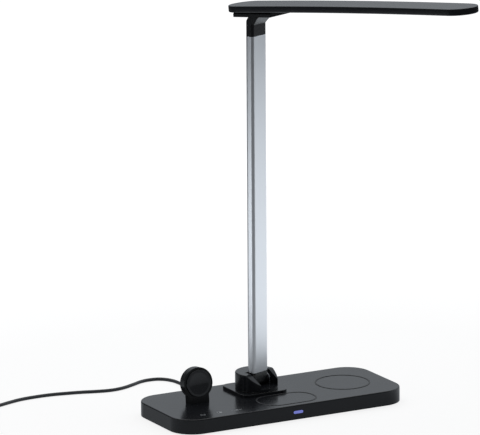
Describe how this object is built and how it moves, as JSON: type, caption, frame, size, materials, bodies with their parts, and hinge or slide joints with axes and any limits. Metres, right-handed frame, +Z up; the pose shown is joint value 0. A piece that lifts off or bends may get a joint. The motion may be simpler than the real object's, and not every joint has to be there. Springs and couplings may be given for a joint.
{
  "type": "desk lamp with charging base",
  "caption": "Slim LED bar lamp on a flat folding arm that turns in a slotted swivel drum, on a low rounded charging base with a watch stand, touch keys and a coiled power cord.",
  "frame": {"origin": "middle of the anti-slip mat's underside, on the table", "axes": "+X along the base towards the phone pad, -Y is the front with the touch keys, +Z up"},
  "size_m": [0.5545, 0.4186, 0.4382],
  "materials": {
    "housing": "dark grey satin paint over plastic",
    "black_plastic": "black fine-grained plastic",
    "arm_aluminium": "bead-blasted silver anodised",
    "mat_rubber": "matt black rubber",
    "pad_line": "grey silicone",
    "steel": "plain steel",
    "ballast": "zinc-coated sheet steel",
    "board": "green solder mask",
    "chips": "moulded black packages",
    "copper": "enamelled copper wire",
    "ferrite": "matt grey ferrite",
    "slide_ring": "natural white low-friction plastic",
    "puck": "smooth dark plastic",
    "window": "pale frosted light window",
    "diffuser": "satin white diffuser",
    "light_guide": "clear acrylic",
    "reflector": "white reflective film",
    "led": "yellow phosphor in a white package",
    "cord_jacket": "dark grey PVC jacket",
    "blade_brass": "plated brass"
  },
  "bodies": {
    "base": {"base_top_cover": "housing", "base_bottom_cover": "black_plastic", "anti_slip_mat": "mat_rubber", "base_screws": "steel", "ballast_plate": "ballast", "main_board": "board", "board_parts": "chips", "touch_board": "board", "phone_coil": "copper", "phone_ferrite": "ferrite", "phone_pad_ring": "pad_line", "earbuds_coil": "copper", "earbuds_ferrite": "ferrite", "earbuds_pad_ring": "pad_line", "indicator_window": "window", "power_socket": "black_plastic", "watch_stand": "black_plastic", "watch_puck": "puck", "watch_coil": "copper", "watch_stand_screws": "steel", "turntable_ring": "slide_ring", "power_plug": "black_plastic", "power_cord": "cord_jacket", "cord_coil": "cord_jacket", "cord_tail": "cord_jacket", "adapter_body": "black_plastic", "adapter_blades": "blade_brass"},
    "turntable": {"turntable_drum": "housing", "swivel_spindle": "steel", "swivel_spring_washer": "steel", "swivel_nut": "steel", "drum_screws": "steel", "lower_hinge_pin": "steel", "friction_leaf": "steel", "friction_springs": "steel", "lower_hinge_nut": "steel"},
    "arm": {"arm_foot": "black_plastic", "arm_tube": "arm_aluminium", "arm_cable": "cord_jacket", "arm_screws": "steel", "neck_bracket": "black_plastic", "upper_hinge_pin": "steel"},
    "head": {"hinge_plate": "black_plastic", "hinge_plate_screws": "steel", "head_shell": "housing", "head_bottom_cover": "black_plastic", "diffuser_panel": "diffuser", "light_guide": "light_guide", "reflector_sheet": "reflector", "led_strip": "reflector", "led_chips": "led"}
  },
  "joints": [
    {"name": "swivel", "type": "hinge", "parent": "base", "child": "turntable", "pos_m": [-0.0082, 0.015, 0.0186], "axis": [0, 0, 1], "range_deg": [-112.3, 67.7]},
    {"name": "arm_fold", "type": "hinge", "parent": "turntable", "child": "arm", "pos_m": [-0.00755, 0.01343, 0.027], "axis": [0.9252, 0.3795, 0], "range_deg": [-5, 45]},
    {"name": "head_tilt", "type": "hinge", "parent": "arm", "child": "head", "pos_m": [-0.0046, 0.00621, 0.3962], "axis": [0.9252, 0.3795, 0], "range_deg": [0, 96]}
  ]
}
